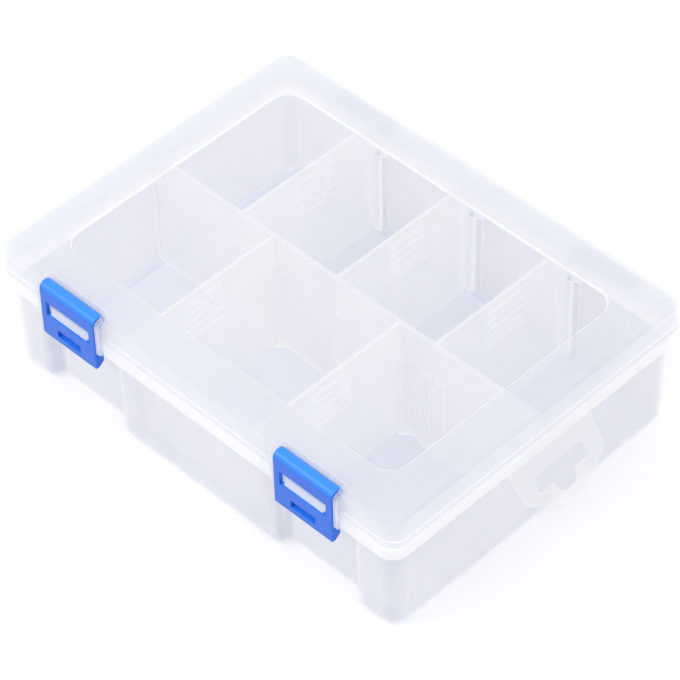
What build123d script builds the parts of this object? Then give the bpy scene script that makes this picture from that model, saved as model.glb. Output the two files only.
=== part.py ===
import os
from math import cos, radians, sin, tan

from build123d import *

os.makedirs("parts", exist_ok=True)

# All sizes are in millimetres and angles in degrees.
# The origin is the middle of the tray's underside, with the latches at -Y and the hanging tab at +X.

# The closed box
rim_length = 205.0
rim_width = 153.0
box_height = 60.0
rim_corner = 7.2

# Clearances
sliding_gap = 0.3
pin_gap = 0.15
divider_gap = 0.2

# How near its expected place a corner or edge is picked
nearby = 0.01

# Tray shell
tray_wall = 1.5
tray_floor = 1.6
tray_draft = 1.65
tray_corner = 6.0
floor_fillet = 2.2
flange_top = 47.6
flange_depth = 5.8
flange_lip = 1.2
flange_plate = 1.4
flange_overhang = 2.55
flange_edge = 0.6
tongue_rise = 2.0

# Finger bays in the front wall, one behind each latch
latch_inset = 42.0
bay_width = 36.5
bay_flare = 1.5
bay_depth = 5.0
bay_mouth_radius = 4.0
bay_back_radius = 2.6

# Long fixed wall and the guides for the dividers
long_wall = 1.5
lid_headroom = 0.4
guide_height = 39.0
guide_reach = 2.8
guide_foot = 12.0
guide_crown = 5.0

# Removable dividers
divider_thickness = 1.3
divider_corner = 5.5
back_divider_pitch = 49.4
divider_to_bay = 9.75
grip_count = 5
grip_length = 20.0
grip_width = 1.2
grip_rise = 0.5
grip_pitch = 4.2
grip_drop = 4.5

# Lid
lid_wall = 1.4
lid_top = 1.6
skirt_inset = 0.8
bead_inset = 0.3
bead_height = 3.0
lid_edge = 1.8
panel_length = 168.6
panel_width = 117.6
panel_corner = 8.5
panel_sink = 1.0
panel_edge = 0.4

# Latches and their carriers on the lid
latch_width = 29.0
latch_plate = 1.7
latch_barrel = 3.0
latch_pin = 1.2
latch_end_gap = 0.4
latch_axis_drop = 3.4
latch_foot_depth = 6.8
latch_neck = 1.6
latch_edge = 0.5
pocket_gap = 0.6
cheek = 1.6
cheek_setback = 0.2
cheek_rise = 1.4
cheek_slant = 1.3
cheek_top = 1.0
cheek_crown = 2.6
foot_reach = 4.0
foot_heel = 1.6
foot_rise = 2.0
window_width = 22.9
window_height = 6.7
window_above_lip = 3.5
pocket_width = 12.1
pocket_height = 3.5
pocket_depth = 1.5
pocket_above_foot = 2.6

# Catches on the flange, inside the latch windows
catch_width = 19.0
catch_reach = 1.6
catch_height = 1.7
catch_face = 0.6

# Back hinge
hinge_inset = 40.5
hinge_drop = 0.5
hinge_pin = 1.5
knuckle_radius = 2.8
knuckle_length = 26.0
knuckle_slot = 2.6
ear_radius = 2.5
ear_thickness = 1.8
ear_gap = 0.4
web_height = 4.6
ear_web_angle = 30.0

# Hanging tab
tab_center = 3.3
tab_root = 43.0
tab_shoulder = 41.0
tab_side = 13.5
tab_reach = 22.7
tab_apex = 8.0
tab_thickness = 1.5
tab_droop = 52.0
tab_shoulder_radius = 4.0
tab_apex_radius = 5.0
tab_edge = 0.4
slot_start = 6.2
slot_length = 26.5
slot_height = 6.5
slot_corner = 1.8
slot_lobe = 5.5


def draft_shift(height):
    """Distance the drafted wall moves outward over a height."""
    return height * tan(radians(tray_draft))


# Levels and places that follow from the sizes above
flange_bottom = flange_top - flange_depth
tongue_top = flange_top + tongue_rise
base_length = rim_length - 2 * (flange_overhang + draft_shift(flange_top))
base_width = rim_width - 2 * (flange_overhang + draft_shift(flange_top))
base_front = -base_width / 2
cavity_width = base_width - 2 * tray_wall
skirt_bottom = flange_top + sliding_gap
skirt_length = rim_length - 2 * skirt_inset
skirt_width = rim_width - 2 * skirt_inset
skirt_corner = rim_corner - skirt_inset
bead_length = rim_length - 2 * bead_inset
bead_width = rim_width - 2 * bead_inset
panel_underside = box_height - panel_sink - lid_top
wall_top = panel_underside - lid_headroom
latch_place = rim_length / 2 - latch_inset
latch_stations = (-latch_place, latch_place)
hinge_place = rim_length / 2 - hinge_inset
hinge_stations = (-hinge_place, hinge_place)

# The latch hangs in front of the flange, and its barrel is flush with its outer face.
latch_inner = -rim_width / 2 - sliding_gap
latch_outer = latch_inner - latch_plate
latch_axis_y = latch_outer + latch_barrel
latch_axis_z = box_height - latch_axis_drop
foot_top = flange_bottom - sliding_gap
latch_foot = foot_top - latch_foot_depth
pocket_back = latch_axis_y + latch_barrel + pocket_gap
pocket_half = latch_width / 2 + latch_end_gap
cheek_front = latch_outer + cheek_setback
cheek_foot = flange_bottom + cheek_rise
cheek_head = box_height - cheek_top
window_sill = flange_bottom + window_above_lip

# The hinge pins lie just behind the flange, level with its top.
hinge_y = rim_width / 2 + knuckle_radius + ear_gap
hinge_z = flange_top - hinge_drop
web_reach = ear_radius * sin(radians(ear_web_angle))
web_drop = ear_radius * cos(radians(ear_web_angle))

# The tab turns about the middle of its own rounded root, just under the flange's lip.
tab_x = rim_length / 2 - flange_lip / 2
tab_z = flange_bottom - sliding_gap - tab_thickness / 2


def side_profile(station):
    """Plane across the box at a place along X, drawn with Y to the right and Z up."""
    return Plane(origin=(station, 0, 0), x_dir=(0, 1, 0), z_dir=(1, 0, 0))


# The tray's outline at its foot, with the two finger bays
with BuildSketch(Plane.XY) as tray_plan:
    RectangleRounded(base_length, base_width, tray_corner)
    for station in latch_stations:
        with BuildLine():
            Polyline(
                (station - bay_width / 2 - 2 * bay_flare, base_front - bay_depth),
                (station - bay_width / 2, base_front + bay_depth),
                (station + bay_width / 2, base_front + bay_depth),
                (station + bay_width / 2 + 2 * bay_flare, base_front - bay_depth),
                close=True,
            )
        make_face(mode=Mode.SUBTRACT)
    bay_backs = tray_plan.vertices().filter_by(
        lambda corner: abs(corner.Y - base_front - bay_depth) < nearby
    )
    fillet(bay_backs, bay_back_radius)
    bay_limit = latch_place + bay_width / 2 + 2 * bay_flare
    bay_mouths = tray_plan.vertices().filter_by(
        lambda corner: abs(corner.Y - base_front) < nearby and abs(corner.X) < bay_limit
    )
    fillet(bay_mouths, bay_mouth_radius)

# Slotted guide seen from above, standing on a wall at Y = 0 and pointing to +Y
with BuildSketch(Plane.XY) as guide_plan:
    with BuildLine():
        Polyline(
            (-guide_foot / 2, 0),
            (-guide_crown / 2, guide_reach),
            (guide_crown / 2, guide_reach),
            (guide_foot / 2, 0),
            (guide_foot / 2, -guide_reach),
            (-guide_foot / 2, -guide_reach),
            close=True,
        )
    make_face()
    Rectangle(divider_thickness + 2 * divider_gap, 2 * guide_reach, mode=Mode.SUBTRACT)

back_divider_places = (-back_divider_pitch, 0.0, back_divider_pitch)
front_divider_place = latch_place - bay_width / 2 - divider_to_bay
front_divider_places = (-front_divider_place, front_divider_place)

# The space inside the tray, less the long wall and the guides that stand in it
with BuildPart() as tray_space:
    with BuildSketch(Plane.XY.offset(tray_floor)):
        add(tray_plan.sketch)
        offset(amount=-tray_wall, mode=Mode.REPLACE)
    extrude(amount=tongue_top, taper=-tray_draft)
    fillet(tray_space.faces().sort_by(Axis.Z)[0].edges(), floor_fillet)
    with BuildSketch(Plane.XY):
        Rectangle(rim_length, long_wall)
        for places, side in ((back_divider_places, 1), (front_divider_places, -1)):
            turn = 0 if side > 0 else 180
            for place in places:
                with Locations(Location((place, side * long_wall / 2, 0), turn)):
                    add(guide_plan.sketch)
                with Locations(Location((place, side * cavity_width / 2, 0), turn + 180)):
                    add(guide_plan.sketch)
    extrude(amount=tray_floor + guide_height, mode=Mode.SUBTRACT)
    with BuildSketch(Plane.XY):
        Rectangle(rim_length, long_wall)
    extrude(amount=wall_top + tongue_top, mode=Mode.SUBTRACT)

# The flange round the tray's rim, hollow underneath and rounded outside
with BuildPart() as flange:
    with BuildSketch(Plane.XY.offset(flange_bottom)):
        RectangleRounded(rim_length, rim_width, rim_corner)
    extrude(amount=flange_depth)
    fillet(flange.faces().filter_by(Axis.Z).edges(), flange_edge)
    with BuildSketch(Plane.XY.offset(flange_bottom)):
        RectangleRounded(rim_length - 2 * flange_lip, rim_width - 2 * flange_lip, rim_corner - flange_lip)
    extrude(amount=flange_depth - flange_plate, mode=Mode.SUBTRACT)

with BuildPart() as tray:
    with BuildSketch(Plane.XY):
        add(tray_plan.sketch)
    extrude(amount=tongue_top, taper=-tray_draft)
    fillet(tray.faces().sort_by(Axis.Z)[0].edges(), floor_fillet + tray_wall)
    add(flange.part)
    add(tray_space.part, mode=Mode.SUBTRACT)

    # The long wall rises above the rim, nearly to the lid.
    with BuildSketch(Plane.XY.offset(flange_top)):
        Rectangle(base_length + 2 * draft_shift(flange_top) - tray_wall, long_wall)
    extrude(amount=wall_top - flange_top)

    # Catches for the latches, sloped on top so that a closing latch rides over them
    for station in latch_stations:
        with BuildSketch(side_profile(station)):
            with BuildLine():
                Polyline(
                    (-rim_width / 2 + flange_lip, flange_top),
                    (-rim_width / 2, flange_top),
                    (-rim_width / 2 - catch_reach, flange_top - catch_height + catch_face),
                    (-rim_width / 2 - catch_reach, flange_top - catch_height),
                    (-rim_width / 2 + flange_lip, flange_top - catch_height),
                    close=True,
                )
            make_face()
        extrude(amount=catch_width / 2, both=True)

    # Hinge ears and pins behind the flange
    for station in hinge_stations:
        for side in (-1, 1):
            ear_middle = station + side * (knuckle_length / 2 + ear_gap + ear_thickness / 2)
            with BuildSketch(side_profile(ear_middle)):
                with Locations((hinge_y, hinge_z)):
                    Circle(ear_radius)
                with BuildLine():
                    Polyline(
                        (rim_width / 2 - flange_lip / 2, flange_bottom),
                        (rim_width / 2, flange_bottom),
                        (hinge_y + web_reach, hinge_z - web_drop),
                        (hinge_y, hinge_z + pin_gap),
                        (rim_width / 2, flange_top - pin_gap),
                        (rim_width / 2 - flange_lip / 2, flange_top - pin_gap),
                        close=True,
                    )
                make_face()
            extrude(amount=ear_thickness / 2, both=True)
        with BuildSketch(side_profile(station)):
            with Locations((hinge_y, hinge_z)):
                Circle(hinge_pin)
        extrude(amount=knuckle_length / 2 + ear_gap + ear_thickness / 2, both=True)

tray.part.label = "tray"
export_step(tray.part, "parts/tray.step")

with BuildPart() as lid:
    with BuildSketch(Plane.XY.offset(skirt_bottom)):
        RectangleRounded(skirt_length, skirt_width, skirt_corner)
    extrude(amount=box_height - skirt_bottom)
    fillet(lid.faces().sort_by(Axis.Z)[-1].edges(), lid_edge)
    with BuildSketch(Plane.XY.offset(skirt_bottom)):
        RectangleRounded(bead_length, bead_width, rim_corner - bead_inset)
    extrude(amount=bead_height)
    with BuildSketch(Plane.XY.offset(skirt_bottom)):
        RectangleRounded(skirt_length - 2 * lid_wall, skirt_width - 2 * lid_wall, skirt_corner - lid_wall)
    extrude(amount=box_height - lid_top - skirt_bottom, mode=Mode.SUBTRACT)

    # The middle of the top is sunk, and its underside follows it.
    with BuildSketch(Plane.XY.offset(panel_underside)):
        RectangleRounded(panel_length + 2 * lid_top, panel_width + 2 * lid_top, panel_corner + lid_top)
    extrude(amount=lid_top)
    with BuildSketch(Plane.XY.offset(box_height - panel_sink)):
        RectangleRounded(panel_length, panel_width, panel_corner)
    extrude(amount=panel_sink, mode=Mode.SUBTRACT)
    panel_rim = lid.edges().filter_by_position(Axis.Z, box_height - nearby, box_height + nearby)
    fillet(panel_rim.filter_by(lambda edge: abs(edge.center().Y) <= panel_width / 2 + nearby
                               and abs(edge.center().X) <= panel_length / 2 + nearby), panel_edge)

    # A pocket for each latch, open to the front, with a cheek and half a pin at each end
    for station in latch_stations:
        with BuildSketch(Plane.XY.offset(skirt_bottom)):
            with Locations((station, (pocket_back + lid_wall - skirt_width / 2 + lid_wall / 2) / 2)):
                Rectangle(
                    2 * (pocket_half + cheek),
                    pocket_back + lid_wall + skirt_width / 2 - lid_wall / 2,
                )
        extrude(amount=box_height - lid_top / 2 - skirt_bottom)
        with BuildSketch(Plane.XY.offset(skirt_bottom)):
            with Locations((station, pocket_back)):
                Rectangle(2 * pocket_half, rim_width, align=(Align.CENTER, Align.MAX))
        extrude(amount=box_height, mode=Mode.SUBTRACT)
        for side in (-1, 1):
            with BuildSketch(side_profile(station + side * (pocket_half + cheek / 2))) as cheek_side:
                with BuildLine():
                    Polyline(
                        (pocket_back, cheek_head),
                        (cheek_front, cheek_head),
                        (cheek_front, cheek_foot),
                        (latch_inner, cheek_foot - cheek_slant),
                        (latch_inner, skirt_bottom),
                        (pocket_back, skirt_bottom),
                        close=True,
                    )
                make_face()
                crown = cheek_side.vertices().group_by(Axis.Y)[-1].sort_by(Axis.X)[0]
                fillet(crown, cheek_crown)
            extrude(amount=cheek / 2, both=True)
        with BuildSketch(side_profile(station)):
            with Locations((latch_axis_y, latch_axis_z)):
                Circle(latch_pin)
        extrude(amount=pocket_half + cheek / 2, both=True)

    # Snap-on hinge knuckles, open below so that they press over the pins
    for station in hinge_stations:
        with BuildSketch(side_profile(station)):
            with Locations((hinge_y, hinge_z)):
                Circle(knuckle_radius)
            with BuildLine():
                Polyline(
                    (skirt_width / 2 - lid_wall / 2, skirt_bottom + sliding_gap),
                    (hinge_y - knuckle_radius, skirt_bottom + sliding_gap),
                    (hinge_y, hinge_z),
                    (hinge_y, hinge_z + knuckle_radius),
                    (skirt_width / 2 - lid_wall / 2, skirt_bottom + sliding_gap + web_height),
                    close=True,
                )
            make_face()
            with Locations((hinge_y, hinge_z)):
                Circle(hinge_pin + pin_gap, mode=Mode.SUBTRACT)
                Rectangle(knuckle_slot, rim_width, align=(Align.CENTER, Align.MAX), mode=Mode.SUBTRACT)
        extrude(amount=knuckle_length / 2, both=True)

lid.part.label = "lid"
export_step(lid.part, "parts/lid.step")


def build_latch(station):
    """One snap latch: a barrel, a plate with a window, and a foot that hooks under the flange."""
    with BuildPart() as latch:
        with BuildSketch(side_profile(station)) as latch_side:
            with BuildLine():
                Polyline(
                    (latch_outer, latch_axis_z),
                    (latch_outer, latch_foot),
                    (latch_outer + foot_heel, latch_foot),
                    (latch_outer + foot_reach, latch_foot + foot_rise),
                    (latch_outer + foot_reach, foot_top),
                    (latch_inner, foot_top),
                    (latch_inner, latch_axis_z - latch_barrel - latch_neck),
                    (latch_axis_y, latch_axis_z - latch_barrel / 2),
                    (latch_axis_y, latch_axis_z),
                    close=True,
                )
            make_face()
            with Locations((latch_axis_y, latch_axis_z)):
                Circle(latch_barrel)
        extrude(amount=latch_width / 2, both=True)
        fillet(latch.faces().filter_by(Axis.X).edges(), latch_edge)
        with BuildSketch(side_profile(station)):
            with Locations((latch_axis_y, latch_axis_z)):
                Circle(latch_pin + pin_gap)
        extrude(amount=latch_width, both=True, mode=Mode.SUBTRACT)
        with BuildSketch(Plane.XZ.offset(-latch_outer)):
            with Locations((station, window_sill)):
                Rectangle(window_width, window_height, align=(Align.CENTER, Align.MIN))
        extrude(amount=-latch_barrel, mode=Mode.SUBTRACT)
        with BuildSketch(Plane.XZ.offset(-latch_outer)):
            with Locations((station, latch_foot + pocket_above_foot)):
                Rectangle(pocket_width, pocket_height, align=(Align.CENTER, Align.MIN))
        extrude(amount=-pocket_depth, mode=Mode.SUBTRACT)
    return latch.part


for name, station in zip(("front_latch_left", "front_latch_right"), latch_stations):
    latch_part = build_latch(station)
    latch_part.label = name
    export_step(latch_part, f"parts/{name}.step")


def build_divider(place, side):
    """A lift-out plate in the guides, with finger grips on both faces; side is +1 behind the long wall."""
    near_edge = long_wall / 2 + sliding_gap
    bottom = tray_floor + divider_gap
    far_bottom = cavity_width / 2 + draft_shift(bottom - tray_floor) - sliding_gap
    far_top = cavity_width / 2 + draft_shift(wall_top - tray_floor) - sliding_gap
    middle = side * (near_edge + far_top) / 2
    with BuildPart() as divider:
        with BuildSketch(side_profile(place)) as plate:
            with BuildLine():
                Polyline(
                    (side * near_edge, bottom),
                    (side * far_bottom, bottom),
                    (side * far_top, wall_top),
                    (side * near_edge, wall_top),
                    close=True,
                )
            make_face()
            fillet(plate.vertices().group_by(Axis.Y)[0], divider_corner)
        extrude(amount=divider_thickness / 2, both=True)
        with BuildSketch(side_profile(place)):
            for row in range(grip_count):
                with Locations((middle, wall_top - grip_drop - row * grip_pitch)):
                    SlotOverall(grip_length, grip_width)
        extrude(amount=divider_thickness / 2 + grip_rise, both=True)
    return divider.part


back_names = ("back_divider_left", "back_divider_middle", "back_divider_right")
front_names = ("front_divider_left", "front_divider_right")
for names, places, side in ((back_names, back_divider_places, 1), (front_names, front_divider_places, -1)):
    for name, place in zip(names, places):
        divider_part = build_divider(place, side)
        divider_part.label = name
        export_step(divider_part, f"parts/{name}.step")

# The tab is drawn on its own drooping plane, with Y pointing away from the box.
tab_plane = Plane(
    origin=(tab_x, tab_center, tab_z),
    x_dir=(0, -1, 0),
    z_dir=(sin(radians(tab_droop)), 0, cos(radians(tab_droop))),
)
with BuildPart() as hang_tab:
    with BuildSketch(tab_plane) as tab_outline:
        with BuildLine():
            Polyline(
                (-tab_root / 2, 0),
                (-tab_shoulder / 2, tab_side),
                (-tab_apex / 2, tab_reach),
                (tab_apex / 2, tab_reach),
                (tab_shoulder / 2, tab_side),
                (tab_root / 2, 0),
                close=True,
            )
        make_face()
        corner_rows = tab_outline.vertices().group_by(Axis.Y)
        fillet(corner_rows[-1], tab_apex_radius)
        shoulders = tab_outline.vertices().filter_by(
            lambda corner: abs(abs(corner.X) - tab_shoulder / 2) < nearby
        )
        fillet(shoulders, tab_shoulder_radius)
    extrude(amount=tab_thickness / 2, both=True)
    with BuildSketch(tab_plane):
        with Locations((0, slot_start + slot_height / 2)):
            RectangleRounded(slot_length, slot_height, slot_corner)
        with Locations((0, slot_start + slot_height)):
            Circle(slot_lobe)
    extrude(amount=tab_thickness, both=True, mode=Mode.SUBTRACT)
    fillet(hang_tab.faces().filter_by(tab_plane).edges(), tab_edge)
    with BuildSketch(Plane.XZ.offset(-tab_center)):
        with Locations((tab_x, tab_z)):
            Circle(tab_thickness / 2)
    extrude(amount=tab_root / 2, both=True)

hang_tab.part.label = "hang_tab"
export_step(hang_tab.part, "parts/hang_tab.step")
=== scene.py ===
import math

import bpy
from mathutils import Matrix, Vector

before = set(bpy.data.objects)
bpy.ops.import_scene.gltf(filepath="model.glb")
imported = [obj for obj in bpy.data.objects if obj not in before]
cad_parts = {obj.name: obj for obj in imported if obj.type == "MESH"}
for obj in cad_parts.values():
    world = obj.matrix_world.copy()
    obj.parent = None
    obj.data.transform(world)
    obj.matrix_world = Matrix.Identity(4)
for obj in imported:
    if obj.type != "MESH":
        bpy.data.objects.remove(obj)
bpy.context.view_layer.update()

scene = bpy.context.scene
millimetre = 0.001
print("stage 1: frame with", len(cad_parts), "moulded pieces")


def srgbToLinear(hexColour):
    # "eef0f6" to the linear red, green and blue that the shaders work in
    channels = [int(hexColour[i:i + 2], 16) / 255 for i in (0, 2, 4)]
    return [c / 12.92 if c <= 0.04045 else ((c + 0.055) / 1.055) ** 2.4 for c in channels]


def opaque(hexColour):
    return (*srgbToLinear(hexColour), 1.0)


# The camera stands at the photograph's place: 1.3 m away on a long lens, a little rolled.
cameraSet = {
    "azimuth": 45.81,  # degrees round from the front, towards the hanging tab
    "elevation": 45.58,
    "roll": -1.68,
    "distance": 1.3245,  # metres from the middle of the box
    "aimHeight": 0.030,
    "lens": 189.61,
    "sensor": 36.0,
    "shift": (0.00264, -0.01609),
}


def makeCamera(s):
    azimuth, elevation, roll = (math.radians(s[k]) for k in ("azimuth", "elevation", "roll"))
    back = Vector((
        math.sin(azimuth) * math.cos(elevation),
        -math.cos(azimuth) * math.cos(elevation),
        math.sin(elevation),
    ))
    right = (-back).cross(Vector((0, 0, 1))).normalized()
    up = back.cross(right)
    rolledRight = right * math.cos(roll) + up * math.sin(roll)
    rolledUp = up * math.cos(roll) - right * math.sin(roll)
    data = bpy.data.cameras.new("photoCamera")
    data.sensor_width = s["sensor"]
    data.lens = s["lens"]
    data.shift_x, data.shift_y = s["shift"]
    camera = bpy.data.objects.new("photoCamera", data)
    scene.collection.objects.link(camera)
    turn = Matrix((rolledRight, rolledUp, back)).transposed().to_4x4()
    place = Vector((0, 0, s["aimHeight"])) + back * s["distance"]
    camera.matrix_world = Matrix.Translation(place) @ turn
    scene.camera = camera


makeCamera(cameraSet)
print("stage 2: camera")


def newMaterial(name):
    material = bpy.data.materials.new(name)
    material.use_nodes = True
    material.node_tree.nodes.clear()
    return material


def addNode(material, kind, settings=None, inputs=None):
    # one node: its properties, and for each input a fixed value or another node's output
    node = material.node_tree.nodes.new(kind)
    for name, value in (settings or {}).items():
        setattr(node, name, value)
    for name, value in (inputs or {}).items():
        if isinstance(value, bpy.types.NodeSocket):
            material.node_tree.links.new(value, node.inputs[name])
        else:
            node.inputs[name].default_value = value
    return node


def arithmetic(material, operation, first, second=0.0, clamp=False):
    settings = {"operation": operation, "use_clamp": clamp}
    return addNode(material, "ShaderNodeMath", settings, {0: first, 1: second}).outputs["Value"]


def vectors(material, operation, first, second=(0.0, 0.0, 0.0)):
    return addNode(material, "ShaderNodeVectorMath", {"operation": operation}, {0: first, 1: second}).outputs


def remap(material, value, span, low=0.0, high=1.0, smooth=False):
    # low where the value is at the span's start, high where it reaches the span's end
    settings = {"interpolation_type": "SMOOTHSTEP" if smooth else "LINEAR"}
    ends = {"From Min": span[0], "From Max": span[1], "To Min": low, "To Max": high}
    return addNode(material, "ShaderNodeMapRange", settings, {"Value": value, **ends}).outputs["Result"]


def mixColours(material, factor, first, second):
    inputs = {"Factor": factor, "A": first, "B": second}
    return addNode(material, "ShaderNodeMix", {"data_type": "RGBA"}, inputs).outputs["Result"]


def mixShaders(material, factor, first, second):
    return addNode(material, "ShaderNodeMixShader", None, {0: factor, 1: first, 2: second}).outputs["Shader"]


def clouds(material, place, s):
    # a soft pattern through the plastic, with s["size"] mm from one cloud to the next
    inputs = {
        "Vector": place.outputs["Object"], "Scale": 1 / (s["size"] * millimetre),
        "Detail": s["detail"], "Roughness": s["roughness"], "Distortion": s["distortion"],
    }
    return addNode(material, "ShaderNodeTexNoise", {"noise_dimensions": "3D"}, inputs).outputs["Fac"]


# Clear polypropylene, injection moulded: see-through with a milky cast, glossy but never
# quite flat, whiter wherever the eye looks along a wall, with a painted highlight and a painted glow
# at rounded edges. The polished floor and lid let more light through than the upright walls, which draw a
# fine haze;
# in the tray the floor and outer walls let through darker tints, which are partly painted shade.
clearSet = {
    "milk": "fdfdfc",  # what the haze in the plastic sends back
    # painted highlight: the white of the rounded edges and the panel's line, also the colour of the painted
    # glow
    "paintedHighlightWhite": "ffffff",
    "floorTintAndShade": "e8eaf5",  # what the floor lets through: its tint, darkened as painted shade of the ground under the box
    "rimTint": "e8eaf5",  # and the level stretches in line with the outer walls
    "outerTintAndShade": "d9dbe6",  # the thick walls round the outside: their tint, darkened as painted shade of the box's dim inside
    "backTintAndShade": "d0d2df",  # the same walls seen from within, darker still: painted shade
    "innerTint": "fdfdfd",  # the thin walls between the compartments
    "outerReach": (68.15, 95.3),  # mm, where the outer walls begin across and along
    "outerShift": 1.25,  # mm, how much nearer the middle they begin at the front, for the finger bays
    "outerBand": 0.6,  # mm from no share to the whole
    "outerTop": 41.5,  # mm, where the rim takes over
    "floorReach": (6.0, 7.0),  # mm, the heights between which the floor's own finish ends
    "floorHaze": 0.12,  # share of haze where the floor is seen square on
    "topHaze": 0.80,  # and on the narrow tops of the walls
    "rimHaze": 0.12,
    "wallHaze": 0.36,
    "innerHaze": 0.62,
    "levelSpan": (0.3, 0.8),  # how level a face is where it goes from upright to level
    "grazingHaze": 0.80,
    "grazingSpan": (0.15, 0.95),
    # painted highlight: the milky share along every rounded edge
    "edgeHighlightHaze": 0.85,
    "edgeSpan": (0.995, 0.86),  # how far the rounded normal has turned, as a cosine
    "paintedEdgeGlow": 0.14,  # painted glow: the edges give off a little light of their own, in place of light that runs inside the sheet and leaves there
    "edgeRadius": 0.55,  # mm, how far the whiter edge reaches in
    "flow": {"size": 38.0, "detail": 2.0, "roughness": 0.5, "distortion": 0.6},  # broad bands of melt flow
    "flowSpan": (0.3, 0.7),
    "flowHaze": 0.025,
    "peel": {"size": 3.2, "detail": 1.0, "roughness": 0.4, "distortion": 0.0},  # bumps of the moulded skin
    "peelHeight": 0.006,  # mm
    "peelStrength": 0.35,
    "throughShare": 0.45,  # share of the milk's light that comes through from behind
    "roughness": 0.28,
    "ior": 1.49,
    "panel": None,
}
lidSet = {
    "milk": "f3f4f8",
    "floorTintAndShade": "fcfcfd",
    "rimTint": "f6f7fa",
    "outerTintAndShade": "f0f1f5",
    "backTintAndShade": "f0f1f5",
    "innerTint": "f8f9fb",
    "topHaze": 0.13,
    "rimHaze": 0.40,
    "wallHaze": 0.50,
    "panel": {"length": 168.6, "width": 117.6, "corner": 8.5, "line": 1.0, "rim": 1.0},  # mm
    # painted highlight: a band of haze along the step round the panel
    "lineHighlightHaze": 0.7,
}
dividerSet = {
    "floorTintAndShade": "fdfdfd",
    "outerTintAndShade": "fdfdfd",
    "backTintAndShade": "fdfdfd",
    "floorHaze": 0.80,
    "wallHaze": 0.62,
}
tabSet = {
    "rimTint": "fafafc",
    "outerTintAndShade": "f4f5f9",
    "backTintAndShade": "f4f5f9",
    "rimHaze": 0.50,
    "wallHaze": 0.50,
}


def awayFromPanel(material, place, panel):
    # metres outside the outline of the lid's sunken panel, less than 0 within it
    corner = panel["corner"] * millimetre
    straight = [panel[side] * millimetre / 2 - corner for side in ("length", "width")]
    farAbove = 1.0  # metres, so that a height never counts
    quarter = vectors(material, "ABSOLUTE", place.outputs["Object"])["Vector"]
    past = vectors(material, "SUBTRACT", quarter, (*straight, farAbove))["Vector"]
    outer = vectors(material, "MAXIMUM", past)["Vector"]
    return arithmetic(material, "SUBTRACT", vectors(material, "LENGTH", outer)["Value"], corner)


def outerWalls(material, spot, s):
    # 1 in the outer walls below the rim, 0 in the rim and in the walls between the compartments
    sides = []
    for axis, reach, shift in zip("YX", s["outerReach"], (s["outerShift"], 0.0)):
        moved = arithmetic(material, "SUBTRACT", spot.outputs[axis], shift * millimetre)
        away = arithmetic(material, "ABSOLUTE", moved)
        span = (reach * millimetre, (reach + s["outerBand"]) * millimetre)
        sides.append(remap(material, away, span))
    either = arithmetic(material, "MAXIMUM", *sides)
    low = arithmetic(material, "LESS_THAN", spot.outputs["Z"], s["outerTop"] * millimetre)
    return arithmetic(material, "MULTIPLY", either, low)


def hazeShare(material, place, spot, level, outside, s):
    # how much of the light the plastic scatters, before its edges are counted
    floorSpan = [height * millimetre for height in s["floorReach"]]
    flat = remap(material, spot.outputs["Z"], floorSpan, s["floorHaze"], s["topHaze"])
    levelHaze = remap(material, outside, (0.0, 1.0), flat, s["rimHaze"])
    uprightHaze = remap(material, outside, (0.0, 1.0), s["innerHaze"], s["wallHaze"])
    squareOn = remap(material, level, s["levelSpan"], uprightHaze, levelHaze)
    facing = addNode(material, "ShaderNodeLayerWeight").outputs["Facing"]
    haze = remap(material, facing, s["grazingSpan"], squareOn, s["grazingHaze"], smooth=True)
    flow = clouds(material, place, s["flow"])
    bands = remap(material, flow, s["flowSpan"], -s["flowHaze"], s["flowHaze"])
    return arithmetic(material, "ADD", haze, bands)


def paintedEdgeHighlight(material, shape, s):
    # painted highlight: more than 0 wherever the plastic turns within the edge radius
    radius = {"Radius": s["edgeRadius"] * millimetre}
    rounded = addNode(material, "ShaderNodeBevel", {"samples": 8}, radius)
    turn = vectors(material, "DOT_PRODUCT", rounded.outputs["Normal"], shape.outputs["Normal"])["Value"]
    return remap(material, turn, s["edgeSpan"], 0.0, s["edgeHighlightHaze"], smooth=True)


def throughTintAndShade(material, place, level, outside, s):
    # the colour of the light that comes straight through; in the tray the darker tints are partly painted
    # shade
    inward = vectors(material, "DOT_PRODUCT", place.outputs["Normal"], place.outputs["Object"])["Value"]
    fromWithin = arithmetic(material, "LESS_THAN", inward)
    # painted shade: the tray's walls are darker still where they are seen from within
    side = mixColours(material, fromWithin, opaque(s["outerTintAndShade"]), opaque(s["backTintAndShade"]))
    upright = mixColours(material, outside, opaque(s["innerTint"]), side)
    flat = mixColours(material, outside, opaque(s["floorTintAndShade"]), opaque(s["rimTint"]))
    return mixColours(material, level, upright, flat)


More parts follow.
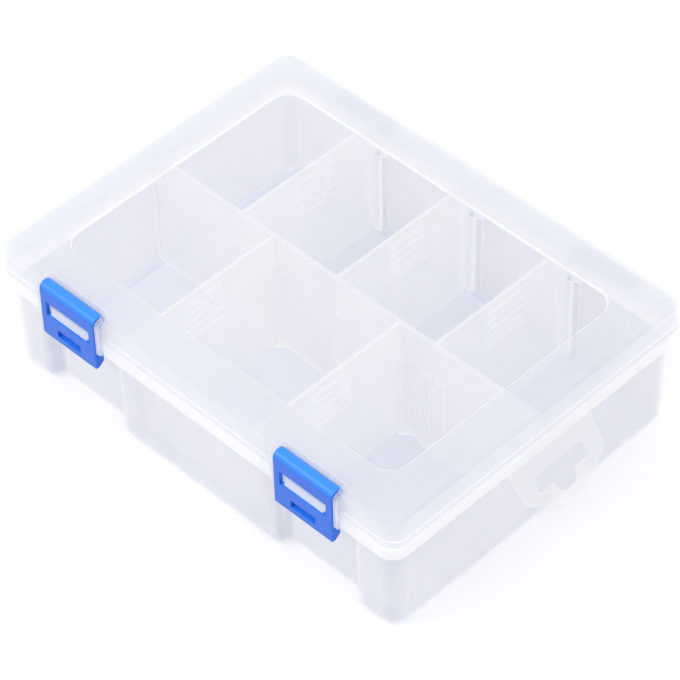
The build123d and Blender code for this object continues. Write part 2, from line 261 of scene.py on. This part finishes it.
def clearPolypropylene(name, changes):
    s = {**clearSet, **changes}
    material = newMaterial(name)
    place = addNode(material, "ShaderNodeTexCoord")
    shape = addNode(material, "ShaderNodeNewGeometry")
    spot = addNode(material, "ShaderNodeSeparateXYZ", None, {"Vector": place.outputs["Object"]})
    axes = addNode(material, "ShaderNodeSeparateXYZ", None, {"Vector": place.outputs["Normal"]})
    level = arithmetic(material, "ABSOLUTE", axes.outputs["Z"])
    edge = paintedEdgeHighlight(material, shape, s)
    if s["panel"]:
        # The step round the lid's panel gets a painted highlight line, and the raised rim begins there.
        away = awayFromPanel(material, place, s["panel"])
        outside = remap(material, away, (0.0, s["panel"]["rim"] * millimetre))
        near = arithmetic(material, "ABSOLUTE", away)
        line = remap(material, near, (s["panel"]["line"] * millimetre, 0.0), 0.0, s["lineHighlightHaze"], smooth=True)
        paintedHighlight = arithmetic(material, "MAXIMUM", edge, line)
    else:
        outside = outerWalls(material, spot, s)
        paintedHighlight = edge
    haze = hazeShare(material, place, spot, level, outside, s)
    # painted highlight: the edges and the panel's line take a larger milky share
    share = arithmetic(material, "MAXIMUM", haze, paintedHighlight, clamp=True)

    tint = throughTintAndShade(material, place, level, outside, s)
    through = addNode(material, "ShaderNodeBsdfTransparent", None, {"Color": tint})
    # painted highlight: whiter milk on the edges and the panel's line
    milk = mixColours(material, paintedHighlight, opaque(s["milk"]), opaque(s["paintedHighlightWhite"]))
    skin = addNode(material, "ShaderNodeBump", None, {
        "Strength": s["peelStrength"],
        "Distance": s["peelHeight"] * millimetre,
        "Height": clouds(material, place, s["peel"]),
    })
    body = addNode(material, "ShaderNodeBsdfPrincipled", None, {
        "Base Color": milk,
        "Normal": skin.outputs["Normal"],
        "Roughness": s["roughness"],
        "IOR": s["ior"],
        # painted glow: the edges emit a little white light of their own
        "Emission Color": opaque(s["paintedHighlightWhite"]),
        "Emission Strength": arithmetic(material, "MULTIPLY", edge, s["paintedEdgeGlow"]),
    })
    glow = addNode(material, "ShaderNodeBsdfTranslucent", None, {"Color": milk})
    milky = mixShaders(material, s["throughShare"], body.outputs["BSDF"], glow.outputs["BSDF"])
    wall = mixShaders(material, share, through.outputs["BSDF"], milky)
    # A wall draws its haze once, where light enters it, and lets it out clear.
    leaving = addNode(material, "ShaderNodeBsdfTransparent")
    whole = mixShaders(material, shape.outputs["Backfacing"], wall, leaving.outputs["BSDF"])
    addNode(material, "ShaderNodeOutputMaterial", None, {"Surface": whole})
    return material


# Blue polypropylene, coloured right through: a strong blue with a soft satin shine, and a painted lighter
# blue on the faces that look up, for the light from above.
blueSet = {
    "blue": "0a64d8",
    "deepBlue": "0056cc",
    "paintedTopLightBlue": "2a8cf2",  # painted top light: a lighter blue on the faces that look up, in place of the light from above
    "paintedTopLightSpan": (-0.1, 0.9),  # how far up a face looks where the painted lighter blue comes in
    "flow": {"size": 9.0, "detail": 3.0, "roughness": 0.55, "distortion": 0.8},  # where the pigment flowed
    "peel": {"size": 1.1, "detail": 2.0, "roughness": 0.5, "distortion": 0.0},
    "peelHeight": 0.01,  # mm
    "peelStrength": 0.4,
    "edgeRadius": 0.3,  # mm
    "roughness": 0.36,
    "ior": 1.49,
}


def bluePolypropylene(s):
    material = newMaterial("bluePolypropylene")
    place = addNode(material, "ShaderNodeTexCoord")
    axes = addNode(material, "ShaderNodeSeparateXYZ", None, {"Vector": place.outputs["Normal"]})
    # painted top light: the faces that look up are given the lighter blue
    paintedTopLight = remap(material, axes.outputs["Z"], s["paintedTopLightSpan"], smooth=True)
    dyed = mixColours(material, clouds(material, place, s["flow"]), opaque(s["blue"]), opaque(s["deepBlue"]))
    rounded = addNode(material, "ShaderNodeBevel", {"samples": 4}, {"Radius": s["edgeRadius"] * millimetre})
    skin = addNode(material, "ShaderNodeBump", None, {
        "Strength": s["peelStrength"],
        "Distance": s["peelHeight"] * millimetre,
        "Height": clouds(material, place, s["peel"]),
        "Normal": rounded.outputs["Normal"],
    })
    body = addNode(material, "ShaderNodeBsdfPrincipled", None, {
        "Base Color": mixColours(material, paintedTopLight, dyed, opaque(s["paintedTopLightBlue"])),
        "Normal": skin.outputs["Normal"],
        "Roughness": s["roughness"],
        "IOR": s["ior"],
    })
    addNode(material, "ShaderNodeOutputMaterial", None, {"Surface": body.outputs["BSDF"]})
    return material


trayPlastic = clearPolypropylene("clearPolypropyleneTray", {})
plastics = {
    "latch": bluePolypropylene(blueSet),
    "lid": clearPolypropylene("clearPolypropyleneLid", lidSet),
    "divider": clearPolypropylene("clearPolypropyleneDivider", dividerSet),
    "tab": clearPolypropylene("clearPolypropyleneTab", tabSet),
}
for node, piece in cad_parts.items():
    plastic = next((plastics[kind] for kind in plastics if kind in node), trayPlastic)
    piece.data.materials.clear()
    piece.data.materials.append(plastic)
print("stage 3: plastics on every piece")


# A white table, a large soft light from the front and a fill, as for a catalogue photograph
studioSet = {
    "floorSize": 6.0,  # metres
    "floorColour": "fbfbfc",
    "floorRoughness": 0.9,
    "floorSheen": 0.1,
    "worldColour": "fffffe",
    "worldStrength": 1.0,
    "keyPower": 16.0,  # watts
    "keySize": 0.8,
    "keyPlace": (-1.3, -1.9, 1.9),
    "fillPower": 10.0,
    "fillSize": 2.0,
    "fillPlace": (1.6, -0.6, 2.4),
    "bounces": 16,
    "milkyBounces": 12,  # light wanders between the milky walls
    "clearBounces": 40,  # the eye looks through up to sixteen skins of plastic
}


def makeFloor(s):
    half = s["floorSize"] / 2
    mesh = bpy.data.meshes.new("table")
    corners = [(-half, -half, 0), (half, -half, 0), (half, half, 0), (-half, half, 0)]
    mesh.from_pydata(corners, [], [(0, 1, 2, 3)])
    floor = bpy.data.objects.new("table", mesh)
    scene.collection.objects.link(floor)
    paper = newMaterial("whitePaper")
    sheet = addNode(paper, "ShaderNodeBsdfPrincipled", None, {
        "Base Color": opaque(s["floorColour"]),
        "Roughness": s["floorRoughness"],
        "Specular IOR Level": s["floorSheen"],
    })
    addNode(paper, "ShaderNodeOutputMaterial", None, {"Surface": sheet.outputs["BSDF"]})
    mesh.materials.append(paper)


def makeLamp(name, power, size, place):
    data = bpy.data.lights.new(name, "AREA")
    data.energy = power
    data.size = size
    lamp = bpy.data.objects.new(name, data)
    scene.collection.objects.link(lamp)
    lamp.location = place
    lamp.rotation_euler = (-Vector(place)).to_track_quat("-Z", "Y").to_euler()


makeFloor(studioSet)
makeLamp("softBox", studioSet["keyPower"], studioSet["keySize"], studioSet["keyPlace"])
makeLamp("fillCard", studioSet["fillPower"], studioSet["fillSize"], studioSet["fillPlace"])

world = bpy.data.worlds.new("studio")
world.use_nodes = True
sky = world.node_tree.nodes["Background"]
sky.inputs["Color"].default_value = opaque(studioSet["worldColour"])
sky.inputs["Strength"].default_value = studioSet["worldStrength"]
scene.world = world

scene.view_settings.view_transform = "Standard"
scene.cycles.max_bounces = studioSet["bounces"]
scene.cycles.diffuse_bounces = studioSet["milkyBounces"]
scene.cycles.transparent_max_bounces = studioSet["clearBounces"]
print("stage 4: studio")
